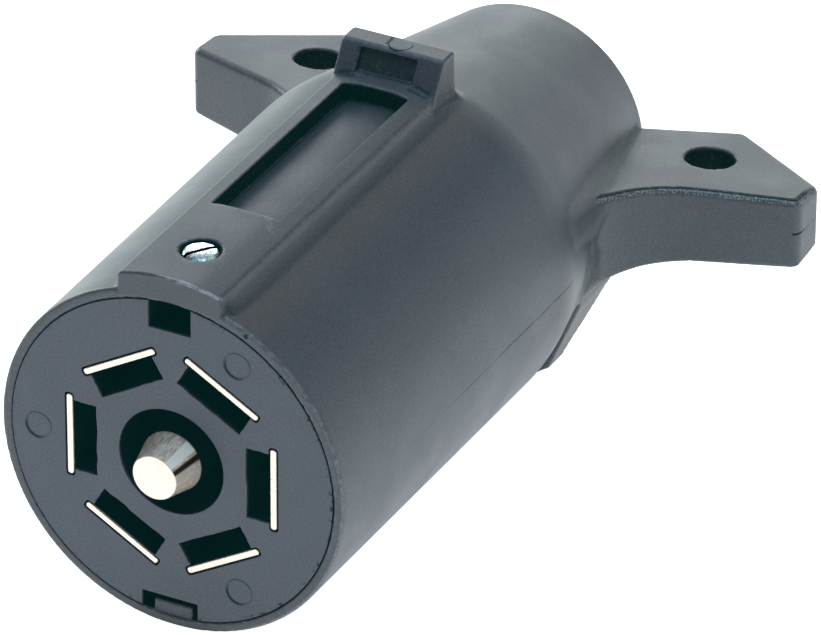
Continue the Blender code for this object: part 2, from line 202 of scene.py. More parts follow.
def polygon(x, y, points):
    """Signed distance to a closed outline."""
    near = None
    inside = None
    for (x0, y0), (x1, y1) in zip(points, points[1:] + points[:1]):
        ex, ey = x1 - x0, y1 - y0
        wx, wy = x - x0, y - y0
        t = np.clip((wx * ex + wy * ey) / (ex * ex + ey * ey), 0.0, 1.0)
        gap = (wx - ex * t) ** 2 + (wy - ey * t) ** 2
        above, below, left = y >= y0, y < y1, ex * wy > ey * wx
        crosses = (above & below & left) | ~(above | below | left)
        near = gap if near is None else np.minimum(near, gap)
        inside = crosses if inside is None else inside ^ crosses
    return np.where(inside, -1.0, 1.0) * np.sqrt(near)


def rounded(corners):
    """Outline through corners (x, y, radius), with an arc of that radius at each one."""
    outline = []
    for i, (x, y, radius) in enumerate(corners):
        if radius == 0:
            outline.append((x, y))
            continue
        corner = Vector((x, y))
        back = (Vector(corners[i - 1][:2]) - corner).normalized()
        ahead = (Vector(corners[(i + 1) % len(corners)][:2]) - corner).normalized()
        half = back.angle(ahead) / 2
        centre = corner + (back + ahead).normalized() * radius / math.sin(half)
        start = corner + back * radius / math.tan(half) - centre
        sweep = start.angle_signed(corner + ahead * radius / math.tan(half) - centre)
        steps = max(5, int(radius * 2))
        for k in range(steps + 1):
            # angle_signed is clockwise, and a 2D rotation matrix turns the other way
            point = centre + Matrix.Rotation(-sweep * k / steps, 2) @ start
            outline.append((point.x, point.y))
    return outline


# Outlines of the right half, closed inside the barrel
EAR_OUTLINE = rounded([
    (8.0, 62.5, 0), (21.2, 62.5, 0), (21.2, 76.4, 14.0), (42.8, 83.2, 1.2), (42.8, 89.0, 1.6),
    (27.9, 98.9, 1.5), (16.0, 93.2, 0), (8.0, 93.2, 0),
])
WEB_OUTLINE = rounded([
    (8.0, 66.1, 0), (21.2, 66.1, 0), (21.2, 76.4, 6.0), (27.0, 78.2, 0), (27.0, 82.0, 0), (17.0, 70.5, 0),
    (8.0, 70.5, 0),
])
WEB_SECTION = [
    (8.0, -1.0), (22.2, -1.0), (22.2, -5.2), (16.9, -17.5), (14.3, -19.3), (11.0, -20.2), (8.0, -20.2),
]
WEB_HOLLOW = [(17.2, -11.5), (17.0, -13.5), (15.9, -17.0), (13.6, -18.4), (9.0, -19.4), (9.0, -11.5)]


def housing_field(x, y, z):
    """The housing: turned body, ears, webs, rib and catch, then every cut."""
    r = np.sqrt(x * x + z * z)
    side = np.abs(x)
    body = slope(r, y, (FACE_R, 0.0), (SHOULDER_R, SHOULDER_Y))
    body = common(body, slope(r, y, (SHOULDER_R, SHOULDER_Y), (TAIL_R, TAIL_Y)), 0.5)
    body = common(body, -y, 0.45)
    body = common(body, y - TAIL_Y, 0.45)

    lift = EAR_SLOPE * (y - EAR_MID_Y)
    steep = math.hypot(1.0, EAR_SLOPE)
    ears = common(polygon(side, y, EAR_OUTLINE), (z - EAR_TOP_Z + lift) / steep, 0.9)
    ears = common(ears, (EAR_BOTTOM_Z + lift - z) / steep, 0.6)
    webs = common(polygon(side, y, WEB_OUTLINE), polygon(side, z, WEB_SECTION), 0.3)
    hollow = np.maximum(polygon(side, z, WEB_HOLLOW), y - WEB_Y[0] - 2.6)
    webs = without(webs, hollow, 0.15)
    taper = 1.0 - BLOCK_TAPER * (y - BLOCK_Y[0])
    block = common(side - 12.8 * taper, -19.3 * taper - z, 1.0)
    block = np.maximum(common(block, span(y, *BLOCK_Y), 0.4), z + 6.0)
    body = union(body, np.minimum(webs, block), 0.5)
    fillet = 0.6 + 1.5 * np.clip((93.0 - y) / 20.0, 0.0, 1.0) * np.clip((z - 1.0) / 3.0, 0.0, 1.0)
    body = union(body, ears, fillet)

    rib = common(side - RIB_HALF, r - RIB_R, 0.55)
    rib = common(rib, span(y, 0.0, CATCH_Y[1]), 0.3)
    rib = np.maximum(rib, TOP_CUT_Z - z)
    body = union(body, rib, 1.8 * (1.0 - np.exp(-np.maximum(y, 0.0) / 1.2)))
    front = (CATCH_Y[0] - CATCH_LEAN * (CATCH_TOP_Z - z) - y) / math.hypot(1.0, CATCH_LEAN)
    catch = common(side - CATCH_HALF, z - CATCH_TOP_Z, 0.35)
    catch = common(catch, np.maximum(front, y - CATCH_Y[1]), 0.35)
    catch = np.maximum(catch, TOP_CUT_Z - z)
    body = union(body, catch, 0.4)
    recess = np.maximum(span(x, *CATCH_RECESS_X), span(z, *CATCH_RECESS_Z))
    recess = np.maximum(recess, -CATCH_RECESS_DEPTH - front)
    body = without(body, recess, 0.2)

    neck = slope(r, y, (CHAMBER_R, 57.0), (CHAMBER_NECK_R, 71.0))
    neck = np.minimum(np.maximum(neck, span(y, 57.0, 71.0)), np.maximum(r - CHAMBER_R, span(y, 31.3, 57.0)))
    hollow = np.minimum(np.maximum(r - BORE_R, y - INSERT_LENGTH - GAP), neck)
    funnel = slope(r, y, (CHAMBER_NECK_R, 71.0), (CABLE_R, 75.0))
    hollow = np.minimum(hollow, np.maximum(funnel, span(y, 71.0, 75.0)))
    hollow = np.minimum(hollow, np.maximum(r - CABLE_R, 60.0 - y))
    mouth = slope(r, y, (CABLE_R, TAIL_Y - 1.4), (CABLE_R + 1.2, TAIL_Y))
    hollow = np.minimum(hollow, np.maximum(mouth, TAIL_Y - 1.4 - y))
    body = without(body, hollow, 0.2)
    key = np.maximum(span(x, *KEY_X), z - KEY_Z)
    key = np.maximum(key, span(y, GAP, INSERT_LENGTH - 1.0))
    key = np.maximum(key, r - BORE_R - 0.5)
    body = np.minimum(body, key)

    holes = np.hypot(side - EAR_HOLE[0], y - EAR_HOLE[1]) - EAR_HOLE_R
    body = without(body, holes, 0.22)
    pocket = np.maximum(np.maximum(side - POCKET_HALF, span(y, *POCKET_Y)), POCKET_FLOOR_R - r)
    pocket = np.maximum(pocket, TOP_CUT_Z - z)
    body = without(body, pocket, 0.25)
    from_screw = np.hypot(x, y - RETAINING_Y)
    seat = np.maximum(from_screw - RETAINING_HOLE_R, RETAINING_SEAT_Z - z)
    body = without(body, np.minimum(seat, np.maximum(from_screw - RETAINING_BORE_R, TOP_CUT_Z - z)), 0.2)

    along = span(y, CLAMP_Y[0] - GAP, CLAMP_Y[1] + GAP)
    channel = np.maximum(along, z - CLAMP_PLATE_Z[1] - CLAMP_TRAVEL - GAP)
    opening = np.maximum(np.maximum(side - JAW_HALF - GAP, along), z)
    tapped = np.hypot(side - CLAMP_SCREW_X, y - CLAMP_MID_Y) - CLAMP_SCREW_R - GAP
    tapped = np.maximum(tapped, z + 3.2)
    under = np.minimum(np.minimum(channel, opening), tapped)
    return without(body, under, 0.2)


def surface_of(field, low, high, cell):
    """Mesh the zero level of a field with one vertex in each cell that the surface crosses."""
    counts = [int(math.ceil((b - a) / cell)) + 1 for a, b in zip(low, high)]
    axes = [np.float32(a) + np.float32(cell) * np.arange(n, dtype=np.float32) for a, n in zip(low, counts)]
    x = axes[0][:, None, None]
    y = axes[1][None, :, None]
    z = axes[2][None, None, :]
    values = np.broadcast_to(field(x, y, z), counts).astype(np.float32)
    solid = values < 0
    corners = [(i, j, k) for i in (0, 1) for j in (0, 1) for k in (0, 1)]
    cells = [n - 1 for n in counts]

    def at(array, i, j, k):
        return array[i:i + cells[0], j:j + cells[1], k:k + cells[2]]

    count = sum(at(solid, *corner).astype(np.int8) for corner in corners)
    active = (count > 0) & (count < 8)
    number = np.full(cells, -1, dtype=np.int32)
    number[active] = np.arange(int(active.sum()))
    place = np.argwhere(active)
    total = np.zeros((len(place), 3))
    hits = np.zeros(len(place))
    for axis in range(3):
        for corner in corners:
            if corner[axis] == 1:
                continue
            first = place + corner
            second = first.copy()
            second[:, axis] += 1
            a = values[tuple(first.T)]
            b = values[tuple(second.T)]
            cut = (a < 0) != (b < 0)
            t = np.where(cut, a / np.where(cut, a - b, 1.0), 0.0)
            point = first.astype(float)
            point[:, axis] += t
            total += point * cut[:, None]
            hits += cut
    points = total / hits[:, None] * cell + np.array(low)

    quads = []
    for axis in range(3):
        u, v = (axis + 1) % 3, (axis + 2) % 3
        here = [slice(0, n) for n in counts]
        here[axis] = slice(0, counts[axis] - 1)
        there = list(here)
        there[axis] = slice(1, counts[axis])
        a = solid[tuple(here)]
        b = solid[tuple(there)]
        for mask, flip in ((a & ~b, False), (~a & b, True)):
            edge = np.argwhere(mask)
            ring = []
            for du, dv in ((0, 0), (-1, 0), (-1, -1), (0, -1)):
                spot = edge.copy()
                spot[:, u] += du
                spot[:, v] += dv
                ring.append(number[tuple(spot.T)])
            quad = np.stack(ring, axis=1)
            quads.append(quad[:, ::-1] if flip else quad)
    return points, np.concatenate(quads)


def slope_of(field, points, step=0.02):
    """The field's value and direction of steepest rise at each point."""
    x, y, z = points.T
    value = field(x, y, z)
    rise = np.stack([
        field(x + step, y, z) - field(x - step, y, z),
        field(x, y + step, z) - field(x, y - step, z),
        field(x, y, z + step) - field(x, y, z - step),
    ], axis=1)
    length = np.linalg.norm(rise, axis=1, keepdims=True)
    return value, rise / np.maximum(length, 1e-9)


def bend_of(field, points, step=0.6):
    """How sharply the surface bends at each point, per millimetre: above 0 outwards, below 0 in a crease."""
    x, y, z = points.T
    total = field(x + step, y, z) + field(x - step, y, z) + field(x, y + step, z) + field(x, y - step, z)
    total = total + field(x, y, z + step) + field(x, y, z - step) - 6 * field(x, y, z)
    return total / step ** 2


def field_object(name, field, low, high, cell):
    """An object from a field, its points pulled onto the surface, with bend and ear_rim stored in it."""
    points, quads = surface_of(field, low, high, cell)
    for _ in range(3):
        value, normal = slope_of(field, points)
        points = points - normal * np.clip(value, -cell / 2, cell / 2)[:, None]
    _, normal = slope_of(field, points)
    mesh = bpy.data.meshes.new(name)
    mesh.from_pydata((points * MM + np.array([0.0, FACE_Y * MM, 0.0])).tolist(), [], quads.tolist())
    mesh.validate()
    mesh.shade_smooth()
    obj = add_object(name, mesh)
    mesh.normals_split_custom_set_from_vertices(normal.tolist())
    x, y, _ = points.T
    for label, values in (("bend", bend_of(field, points)), ("ear_rim", polygon(np.abs(x), y, EAR_OUTLINE))):
        mesh.attributes.new(label, 'FLOAT', 'POINT').data.foreach_set("value", values.astype(np.float32))
    return obj


def add_object(name, mesh):
    obj = bpy.data.objects.new(name, mesh)
    bpy.context.scene.collection.objects.link(obj)
    return obj


# Flat outlines, turned shapes and threads -------------------------------------------------------

def to_frame(mesh):
    """Scale a mesh made in millimetres and move it from the mating face's frame to the model's."""
    mesh.transform(Matrix.Translation((0.0, FACE_Y * MM, 0.0)) @ Matrix.Scale(MM, 4))


def extruded(outlines, low, high, bevel):
    """A mesh of (x, z) outlines, holes among them, run along y with its end edges bevelled."""
    curve = bpy.data.curves.new("outline", 'CURVE')
    curve.dimensions = '2D'
    curve.fill_mode = 'BOTH'
    curve.extrude = (high - low) / 2 - bevel
    curve.bevel_depth = bevel
    curve.bevel_resolution = 2
    curve.offset = -bevel
    for outline in outlines:
        spline = curve.splines.new('POLY')
        spline.points.add(len(outline) - 1)
        for point, (u, v) in zip(spline.points, outline):
            point.co = (u, v, 0.0, 1.0)
        spline.use_cyclic_u = True
    source = bpy.data.objects.new("outline", curve)
    bpy.context.scene.collection.objects.link(source)
    bpy.context.view_layer.update()
    mesh = bpy.data.meshes.new_from_object(source.evaluated_get(bpy.context.evaluated_depsgraph_get()))
    bpy.data.objects.remove(source, do_unlink=True)
    mesh.transform(Matrix.Translation((0.0, (low + high) / 2, 0.0)) @ Matrix.Rotation(math.pi / 2, 4, 'X'))
    return mesh


def circle(radius, steps=96, center=(0.0, 0.0)):
    angles = [2 * math.pi * k / steps for k in range(steps)]
    return [(center[0] + radius * math.cos(a), center[1] + radius * math.sin(a)) for a in angles]


def lathe(profile, steps=48):
    """A closed turned mesh about z, from (radius, z) points that run from one end to the other."""
    shape = bmesh.new()
    rings = []
    for radius, height in profile:
        if radius == 0:
            rings.append([shape.verts.new((0.0, 0.0, height))])
            continue
        angles = [2 * math.pi * k / steps for k in range(steps)]
        rings.append([shape.verts.new((radius * math.cos(a), radius * math.sin(a), height)) for a in angles])
    for first, second in zip(rings, rings[1:]):
        for k in range(steps):
            corners = [first[k % len(first)], first[(k + 1) % len(first)],
                       second[(k + 1) % len(second)], second[k % len(second)]]
            shape.faces.new(list(dict.fromkeys(corners)))
    bmesh.ops.recalc_face_normals(shape, faces=shape.faces)
    mesh = bpy.data.meshes.new("turned")
    shape.to_mesh(mesh)
    shape.free()
    return mesh


def thread(radius, low, high, pitch, depth, steps=32):
    """A closed threaded rod about z, tapered to a blunt point at its low end."""
    shape = bmesh.new()
    count = int((high - low) / pitch * 8)
    rings = []
    for i in range(count + 1):
        height = low + (high - low) * i / count
        ring = []
        for k in range(steps):
            turn = k / steps
            phase = (height / pitch - turn) % 1.0
            ridge = depth * min(1.0, abs(2 * phase - 1) * 1.6)
            near_tip = min(1.0, 0.72 + 0.28 * (height - low) / 0.7)
            reach = (radius - ridge) * near_tip
            angle = 2 * math.pi * turn
            ring.append(shape.verts.new((reach * math.cos(angle), reach * math.sin(angle), height)))
        rings.append(ring)
    for first, second in zip(rings, rings[1:]):
        for k in range(steps):
            shape.faces.new((first[k], first[(k + 1) % steps], second[(k + 1) % steps], second[k]))
    shape.faces.new(rings[0][::-1])
    shape.faces.new(rings[-1])
    mesh = bpy.data.meshes.new("thread")
    shape.to_mesh(mesh)
    shape.free()
    return mesh


def joined(meshes):
    """One mesh that holds several closed shells."""
    shape = bmesh.new()
    for mesh in meshes:
        shape.from_mesh(mesh)
    whole = bpy.data.meshes.new("joined")
    shape.to_mesh(whole)
    shape.free()
    return whole


def block(x, y, z, bevel):
    """A box between two values on each axis, with its edges rounded."""
    shape = bmesh.new()
    bmesh.ops.create_cube(shape, size=1.0)
    sizes = [high - low for low, high in (x, y, z)]
    bmesh.ops.scale(shape, vec=sizes, verts=shape.verts)
    bmesh.ops.translate(shape, vec=[(high + low) / 2 for low, high in (x, y, z)], verts=shape.verts)
    bmesh.ops.bevel(shape, geom=shape.edges[:], offset=bevel, segments=2, profile=0.5, affect='EDGES')
    mesh = bpy.data.meshes.new("block")
    shape.to_mesh(mesh)
    shape.free()
    return mesh


def carve(mesh, tool):
    """The mesh with a tool mesh cut out of it."""
    body = add_object("carved", mesh)
    other = add_object("tool", tool)
    step = body.modifiers.new("cut", 'BOOLEAN')
    step.solver = 'EXACT'
    step.operation = 'DIFFERENCE'
    step.object = other
    bpy.context.view_layer.update()
    result = bpy.data.meshes.new_from_object(body.evaluated_get(bpy.context.evaluated_depsgraph_get()))
    bpy.data.objects.remove(body, do_unlink=True)
    bpy.data.objects.remove(other, do_unlink=True)
    return result


def smooth_object(name, mesh, angle=30):
    """An object in the model's frame, smooth but for edges sharper than the angle."""
    to_frame(mesh)
    mesh.name = name
    mesh.shade_smooth()
    mesh.set_sharp_from_angle(angle=math.radians(angle))
    return add_object(name, mesh)


# Materials -------------------------------------------------------------------------------------

class Nodes:
    """Short calls for building a node tree: each returns the output socket of the node it adds."""

    def __init__(self, name, roughness, metallic=0.0):
        self.material = bpy.data.materials.new(name)
        self.material.use_nodes = True
        self.tree = self.material.node_tree
        self.shader = self.tree.nodes["Principled BSDF"]
        self.shader.inputs["Roughness"].default_value = roughness
        self.shader.inputs["Metallic"].default_value = metallic
        place = self.tree.nodes.new("ShaderNodeTexCoord").outputs["Object"]
        in_mm = self.vector('SCALE', place, scale=1 / MM)
        self.place = self.vector('SUBTRACT', in_mm, (0.0, FACE_Y, 0.0))
        split = self.tree.nodes.new("ShaderNodeSeparateXYZ")
        self.feed(split.inputs[0], self.place)
        self.x, self.y, self.z = split.outputs

    def feed(self, socket, value):
        if isinstance(value, bpy.types.NodeSocket):
            self.tree.links.new(value, socket)
        else:
            socket.default_value = value

    def vector(self, operation, a, b=None, scale=None):
        node = self.tree.nodes.new("ShaderNodeVectorMath")
        node.operation = operation
        self.feed(node.inputs[0], a)
        if b is not None:
            self.feed(node.inputs[1], b)
        if scale is not None:
            self.feed(node.inputs["Scale"], scale)
        return node.outputs["Value" if operation in ('LENGTH', 'DOT_PRODUCT') else "Vector"]

    def math(self, operation, *values):
        node = self.tree.nodes.new("ShaderNodeMath")
        node.operation = operation
        for socket, value in zip(node.inputs, values):
            self.feed(socket, value)
        return node.outputs[0]

    def noise(self, size, detail=3.0, stretch=(1.0, 1.0, 1.0), roughness=0.55):
        """Noise from 0 to 1 whose features are about size millimetres across."""
        node = self.tree.nodes.new("ShaderNodeTexNoise")
        self.feed(node.inputs["Vector"], self.vector('MULTIPLY', self.place, stretch))
        node.inputs["Scale"].default_value = 1 / size
        node.inputs["Detail"].default_value = detail
        node.inputs["Roughness"].default_value = roughness
        return node.outputs["Fac"]

    def ramp(self, value, low, high, start=0.0, end=1.0, smooth=True):
        """Carry value from low..high to start..end, flat outside."""
        node = self.tree.nodes.new("ShaderNodeMapRange")
        node.interpolation_type = 'SMOOTHSTEP' if smooth else 'LINEAR'
        for name, number in (("From Min", low), ("From Max", high), ("To Min", start), ("To Max", end)):
            node.inputs[name].default_value = number
        self.feed(node.inputs["Value"], value)
        return node.outputs["Result"]

    def mix(self, factor, a, b):
        node = self.tree.nodes.new("ShaderNodeMix")
        node.data_type = 'RGBA'
        self.feed(node.inputs["Factor"], factor)
        self.feed(node.inputs["A"], a if isinstance(a, bpy.types.NodeSocket) else (*a, 1.0))
        self.feed(node.inputs["B"], b if isinstance(b, bpy.types.NodeSocket) else (*b, 1.0))
        return node.outputs["Result"]

    def within(self, value, low, high, soft, outside=False, floor=0.0):
        """1 between low and high, fading to floor over soft beyond them, or the other way round."""
        gap = self.math('ABSOLUTE', self.math('SUBTRACT', value, (low + high) / 2))
        half = (high - low) / 2
        ends = (floor, 1.0) if outside else (1.0, floor)
        return self.ramp(gap, half, half + soft, *ends)

    def all_of(self, *values):
        result = values[0]
        for value in values[1:]:
            result = self.math('MULTIPLY', result, value)
        return result

    def any_of(self, *values):
        result = values[0]
        for value in values[1:]:
            result = self.math('MAXIMUM', result, value)
        return result

    def radius(self):
        """Distance from the plug's axis."""
        return self.vector('LENGTH', self.vector('MULTIPLY', self.place, (1.0, 0.0, 1.0)))

    def distance(self, place):
        return self.vector('LENGTH', self.vector('SUBTRACT', self.place, place))

    def stored(self, name):
        """A number stored in the mesh: bend (1 or more on an edge, -1 in a crease) or ear_rim."""
        node = self.tree.nodes.new("ShaderNodeAttribute")
        node.attribute_name = name
        return node.outputs["Fac"]

    def openness(self, reach):
        """How open the surroundings are within reach millimetres: 1 on a bare face, low in a slot."""
        node = self.tree.nodes.new("ShaderNodeAmbientOcclusion")
        node.samples = 12
        node.inputs["Distance"].default_value = reach * MM
        return node.outputs["AO"]

    def bump(self, height, strength, depth, below=None):
        node = self.tree.nodes.new("ShaderNodeBump")
        node.inputs["Strength"].default_value = strength
        node.inputs["Distance"].default_value = depth * MM
        self.feed(node.inputs["Height"], height)
        if below is not None:
            self.feed(node.inputs["Normal"], below)
        return node.outputs["Normal"]

    def set(self, name, value):
        self.feed(self.shader.inputs[name], value)


# Painted shade: a dark teal put in recesses and down in the insert, where little light gets in, and given off
# faintly as a painted glow so that it never goes pure black
RECESS_SHADE = (0.0008, 0.0075, 0.0075)
RECESS_SHADE_GLOW = 1.4


def tone(color, factor):
    return tuple(c * factor for c in color)


def plastic(name, color, marks=None, recesses=None, speckle=0.0):
    """Moulded plastic: fine grain, patchy sheen, pale edges that are partly wear and partly a painted highlight,
    and painted shade in dark teal where little light gets in.

    marks(n, shade, normal, color) adds a piece's own marks and its painted light, recesses(n) says where shade is
    painted in its recesses, and speckle lets that much of the plastic show in spots of the painted shade.
    """
    n = Nodes(name, 0.46)
    patch = n.noise(14.0, 2.0)
    grain = n.noise(0.30, 3.0)
    shade = n.mix(n.ramp(patch, 0.3, 0.7), tone(color, 0.93), tone(color, 1.08))
    shade = n.mix(n.ramp(grain, 0.30, 0.72, 0.0, 0.6), shade, tone(color, 1.9))
    # Pale convex edges: partly wear, partly a painted highlight along the edges
    edge_wear_and_highlight = n.math('MULTIPLY', n.ramp(n.stored("bend"), 0.4, 1.2), n.ramp(n.noise(0.8, 5.0), 0.45, 0.65))
    shade = n.mix(n.math('MULTIPLY', edge_wear_and_highlight, 0.4), shade, tone(color, 2.4))
    scuff = n.math('MULTIPLY', n.ramp(n.noise(2.2, 5.0, (1.0, 0.35, 1.0)), 0.66, 0.78), n.ramp(patch, 0.5, 0.6))
    shade = n.mix(n.math('MULTIPLY', scuff, 0.15), shade, tone(color, 2.5))
    normal = n.bump(grain, 0.30, 0.03)
    # Painted shade: dark teal where the surroundings are closed in, along creases, and where the ears meet the body
    air = n.openness(5.0)
    crease = n.math('MULTIPLY', n.ramp(n.stored("bend"), -0.75, -0.10, 0.60, 0.0), n.ramp(n.y, 0.3, 1.2))
    ear_root_shade = n.all_of(n.ramp(n.math('ABSOLUTE', n.x), 13.0, 17.0), n.ramp(n.y, 56.0, 62.0),
                        n.ramp(n.z, -1.0, 2.0), n.ramp(air, 0.55, 0.97, 0.7, 0.0))
    dark = n.any_of(n.ramp(air, 0.35, 0.60, 1.0, 0.0), n.ramp(air, 0.60, 0.88, 0.38, 0.0), crease, ear_root_shade)
    if marks:
        # A piece's marks and painted light; its dark marks and painted shade turn dark teal
        shade, normal, dark_marks_and_shade = marks(n, shade, normal, color)
        dark = n.any_of(dark, dark_marks_and_shade)
    if recesses:
        dark = n.any_of(dark, recesses(n))
    if speckle:
        dark = n.math('MULTIPLY', dark, n.ramp(n.noise(0.6, 5.0), 0.52, 0.66, 1.0, 1.0 - speckle))
    # The painted shade goes into the colour and, faintly, into the glow
    n.set("Base Color", n.mix(dark, shade, RECESS_SHADE))
    n.set("Emission Color", n.mix(dark, (0.0, 0.0, 0.0), RECESS_SHADE))
    n.shader.inputs["Emission Strength"].default_value = RECESS_SHADE_GLOW
    n.set("Normal", normal)
    n.set("Roughness", n.ramp(n.noise(6.0, 3.0), 0.3, 0.7, 0.43, 0.49))
    n.set("Specular IOR Level", n.ramp(dark, 0.0, 1.0, 0.5, 0.06))
    return n.material


def insert_recess_shade(n):
    """Painted shade below the face inside the well, the slots and both notches of the rim."""
    notch = n.math('MULTIPLY', n.within(n.x, -TOP_NOTCH_HALF, TOP_NOTCH_HALF, 0.1),
                   n.ramp(n.z, TOP_NOTCH_Z - 0.15, TOP_NOTCH_Z - 0.1))
    keyway = n.math('MULTIPLY', n.within(n.x, *KEYWAY_X, 0.1),
                    n.ramp(n.z, KEYWAY_Z + 0.1, KEYWAY_Z + 0.15, 1.0, 0.0))
    inside_rim = n.ramp(n.radius(), 20.9, 21.1, 1.0, 0.0)
    return n.math('MULTIPLY', n.any_of(notch, keyway, inside_rim), n.ramp(n.y, 0.12, 0.55))


def housing_recess_shade(n):
    """Painted shade on the walls of the rib's pocket, in the screw's seat, down in the ear holes and in the catch's
    recess.
    """
    radius = n.radius()
    side = n.math('ABSOLUTE', n.x)
    wall = n.math('MAXIMUM', n.ramp(side, POCKET_HALF - 0.3, POCKET_HALF - 0.05),
                  n.within(n.y, POCKET_Y[0] + 0.3, POCKET_Y[1] - 0.3, 0.15, outside=True))
    pocket = n.all_of(wall, n.within(n.y, *POCKET_Y, 0.2),
                      n.ramp(side, POCKET_HALF + 0.1, POCKET_HALF + 0.3, 1.0, 0.0),
                      n.ramp(radius, RIB_R - 0.35, RIB_R - 0.1, 1.0, 0.0), n.ramp(n.z, 20.0, 20.5))
    from_screw = n.vector('MULTIPLY', n.vector('SUBTRACT', n.place, (0.0, RETAINING_Y, 0.0)), (1.0, 1.0, 0.0))
    from_screw = n.vector('LENGTH', from_screw)
    seat = n.all_of(n.ramp(from_screw, RETAINING_HOLE_R + 0.05, RETAINING_HOLE_R + 0.25, 1.0, 0.0),
                    n.ramp(n.z, RIB_R - 0.35, RIB_R - 0.15, 1.0, 0.0), n.ramp(n.z, 21.0, 22.0))
    past = n.math('SUBTRACT', side, EAR_HOLE[0])
    behind = n.math('SUBTRACT', n.y, EAR_HOLE[1])
    from_hole = n.math('SQRT', n.math('ADD', n.math('MULTIPLY', past, past), n.math('MULTIPLY', behind, behind)))
    lift = n.math('MULTIPLY', behind, -EAR_SLOPE)
    deep = n.math('SUBTRACT', n.math('ADD', EAR_TOP_Z - EAR_SLOPE * (EAR_HOLE[1] - EAR_MID_Y), lift), n.z)
    hole = n.all_of(n.ramp(from_hole, EAR_HOLE_R + 0.03, EAR_HOLE_R + 0.12, 1.0, 0.0),
                    n.ramp(deep, 0.15, 0.5, 0.0, 0.85))
    lean = n.math('MULTIPLY', n.z, CATCH_LEAN)
    front = n.math('SUBTRACT', n.y, n.math('ADD', CATCH_Y[0] - CATCH_LEAN * CATCH_TOP_Z, lean))
    recess = n.all_of(n.within(n.x, *CATCH_RECESS_X, 0.08), n.within(n.z, *CATCH_RECESS_Z, 0.08),
                      n.ramp(front, 0.15, 0.3, 0.0, 0.62),
                      n.ramp(n.y, CATCH_Y[1] - 1.5, CATCH_Y[1] - 1.2, 1.0, 0.0))
    return n.any_of(pocket, seat, hole, recess)


def housing_marks_and_painted_light(n, shade, normal, color):
    """The parting line, a painted dark line and painted glints on the right ear's rolled edge, a painted highlight
    on the front edges of the ring and the rib, and small marks and rubs.
    """
    side = n.math('ABSOLUTE', n.x)
    sway = n.ramp(n.noise(9.0, 1.0), 0.2, 0.8, -0.12, 0.12)
    away = n.math('ABSOLUTE', n.math('SUBTRACT', n.z, sway))
    off_ear = n.any_of(n.ramp(n.y, 60.0, 64.0, 1.0, 0.0), n.within(side, 22.5, 41.9, 1.5, outside=True, floor=0.06))
    line = n.all_of(n.ramp(away, 0.05, 0.17, 1.0, 0.0), n.ramp(side, 19.0, 19.5), n.ramp(n.y, 8.0, 55.0, 0.1, 0.9),
                    n.ramp(n.noise(3.5, 2.0), 0.30, 0.52, 0.25, 1.0), off_ear)
    ring = n.all_of(n.within(n.distance(CATCH_CIRCLE), CATCH_CIRCLE_R - 0.16, CATCH_CIRCLE_R, 0.06),
                    n.ramp(n.y, 58.0, 58.7, 1.0, 0.15))
    seam = n.all_of(n.within(n.x, -1.42, -1.12, 0.06), n.ramp(n.y, 57.0, 57.1), n.ramp(n.z, 28.0, 28.1))
    dot = n.ramp(n.distance(RING_DOT), 0.22, 0.42, 1.0, 0.0)
    marks = n.any_of(line, dot, ring, seam)

    rim = n.stored("ear_rim")
    top = n.math('ADD', EAR_TOP_Z + EAR_SLOPE * EAR_MID_Y, n.math('MULTIPLY', n.y, -EAR_SLOPE))
    below = n.math('SUBTRACT', top, n.z)
    front = n.all_of(n.ramp(n.y, 86.0, 89.0, 1.0, 0.0), n.ramp(n.x, 19.0, 21.0))
    # Painted shade: a dark line along the top of the right ear's rolled edge
    crease = n.all_of(front, n.within(rim, -1.08, -0.54, 0.12), n.within(below, -0.2, 0.4, 0.1))
    # Painted highlight: glints along the middle of the right ear's rolled edge
    glint = n.all_of(front, n.within(rim, -0.44, -0.12, 0.10), n.within(below, 0.02, 0.6, 0.15),
                     n.ramp(n.noise(0.22, 4.0), 0.46, 0.66))
    shade = n.mix(n.math('MULTIPLY', glint, 0.8), shade, (0.36, 0.34, 0.30))
    nick = n.all_of(n.within(side, 42.2, 43.0, 0.3), n.within(away, 0.0, 0.12, 0.06),
                    n.ramp(n.y, 84.0, 86.5, 1.0, 0.0))
    # Dark mould marks and the nick, together with the painted dark line
    dark_marks_and_shade = n.any_of(n.math('MULTIPLY', marks, 0.8), n.math('MULTIPLY', crease, 0.85), nick)

    rub = n.all_of(n.ramp(n.distance(POCKET_RUB), 1.2, 2.4, 1.0, 0.0),
                   n.ramp(n.noise(0.9, 3.0, (1.0, 1.8, 1.0)), 0.56, 0.60))
    shade = n.mix(n.math('MULTIPLY', rub, 0.5), shade, tone(color, 3.0))
    # Painted highlight: a pale line along the front edges of the ring and of the rib's top, mostly towards the
    # right
    radius = n.radius()
    on_ring = n.all_of(n.within(radius, FACE_R - 0.28, FACE_R - 0.08, 0.10), n.ramp(n.x, -10.0, 8.0),
                       n.within(n.x, -RIB_HALF, RIB_HALF, 0.3, outside=True))
    on_rib = n.all_of(n.within(radius, RIB_R - 0.30, RIB_R - 0.08, 0.08), n.ramp(n.x, -3.0, 2.0),
                      n.ramp(n.z, 20.0, 21.0))
    painted_lip_highlight = n.all_of(n.ramp(n.y, 0.35, 0.55, 1.0, 0.0), n.any_of(on_ring, on_rib),
                   n.ramp(n.noise(0.6, 5.0), 0.30, 0.62, 0.2, 1.0))
    shade = n.mix(n.math('MULTIPLY', painted_lip_highlight, n.ramp(radius, 23.5, 24.5, 0.28, 0.9)), shade, (0.40, 0.37, 0.38))
    return shade, n.bump(marks, 0.8, -0.06, normal), dark_marks_and_shade


